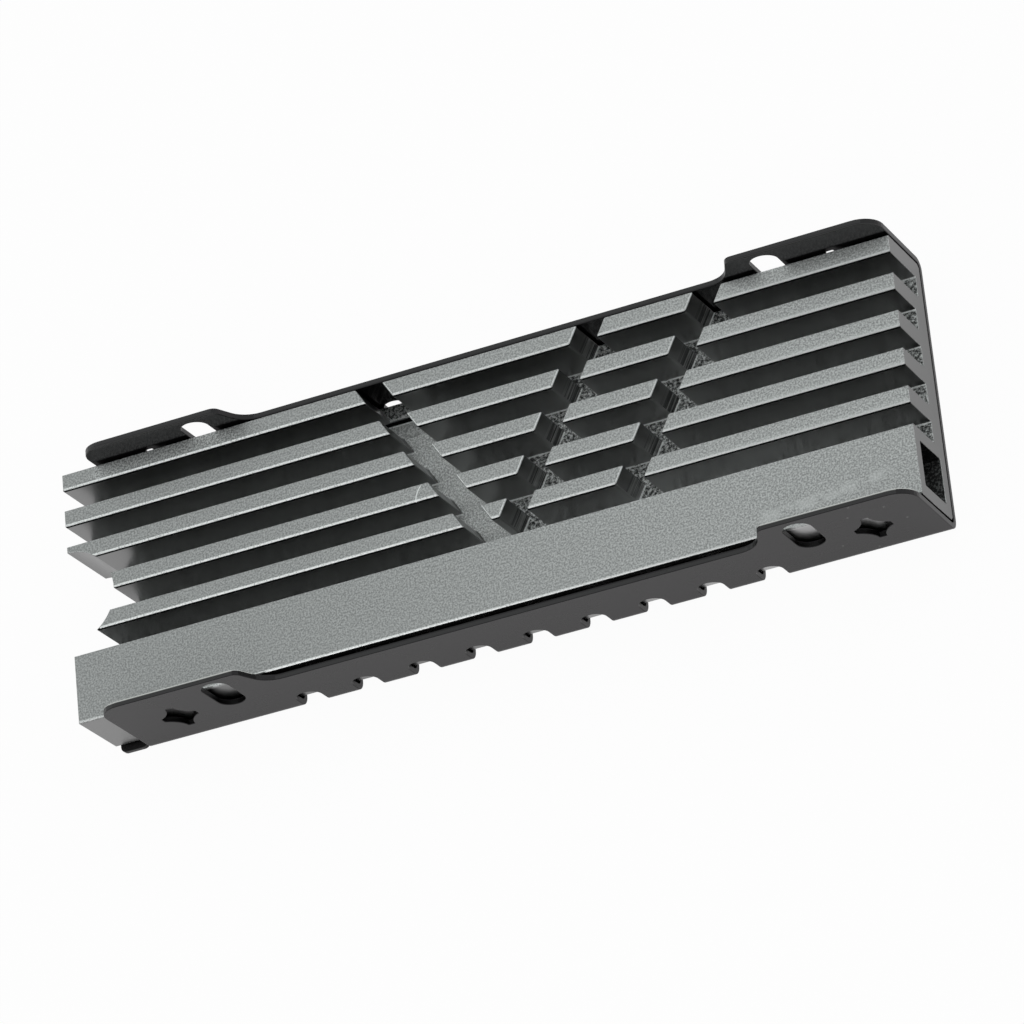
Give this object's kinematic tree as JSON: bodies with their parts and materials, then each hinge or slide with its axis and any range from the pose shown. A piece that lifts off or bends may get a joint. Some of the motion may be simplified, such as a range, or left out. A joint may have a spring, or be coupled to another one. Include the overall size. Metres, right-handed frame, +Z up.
{
  "type": "ssd heat sink",
  "caption": "Finned aluminium heat sink with a hollow rail and slanted slots, seated in a folded black steel tray with lugs.",
  "frame": {"origin": "centre of the half-round screw notch, at the tray's underside", "axes": "+X along the length from the notch end, +Y across the width away from the hollow rail, +Z up out of the tray"},
  "size_m": [0.076, 0.0242, 0.0102],
  "materials": {
    "blasted_aluminium": "sand-blasted and anodised grey",
    "thermal_film": "matte silicone film",
    "black_steel": "satin black coating"
  },
  "bodies": {
    "root": {"heat_sink_body": "blasted_aluminium", "thermal_film": "thermal_film", "tray": "black_steel"}
  },
  "joints": []
}
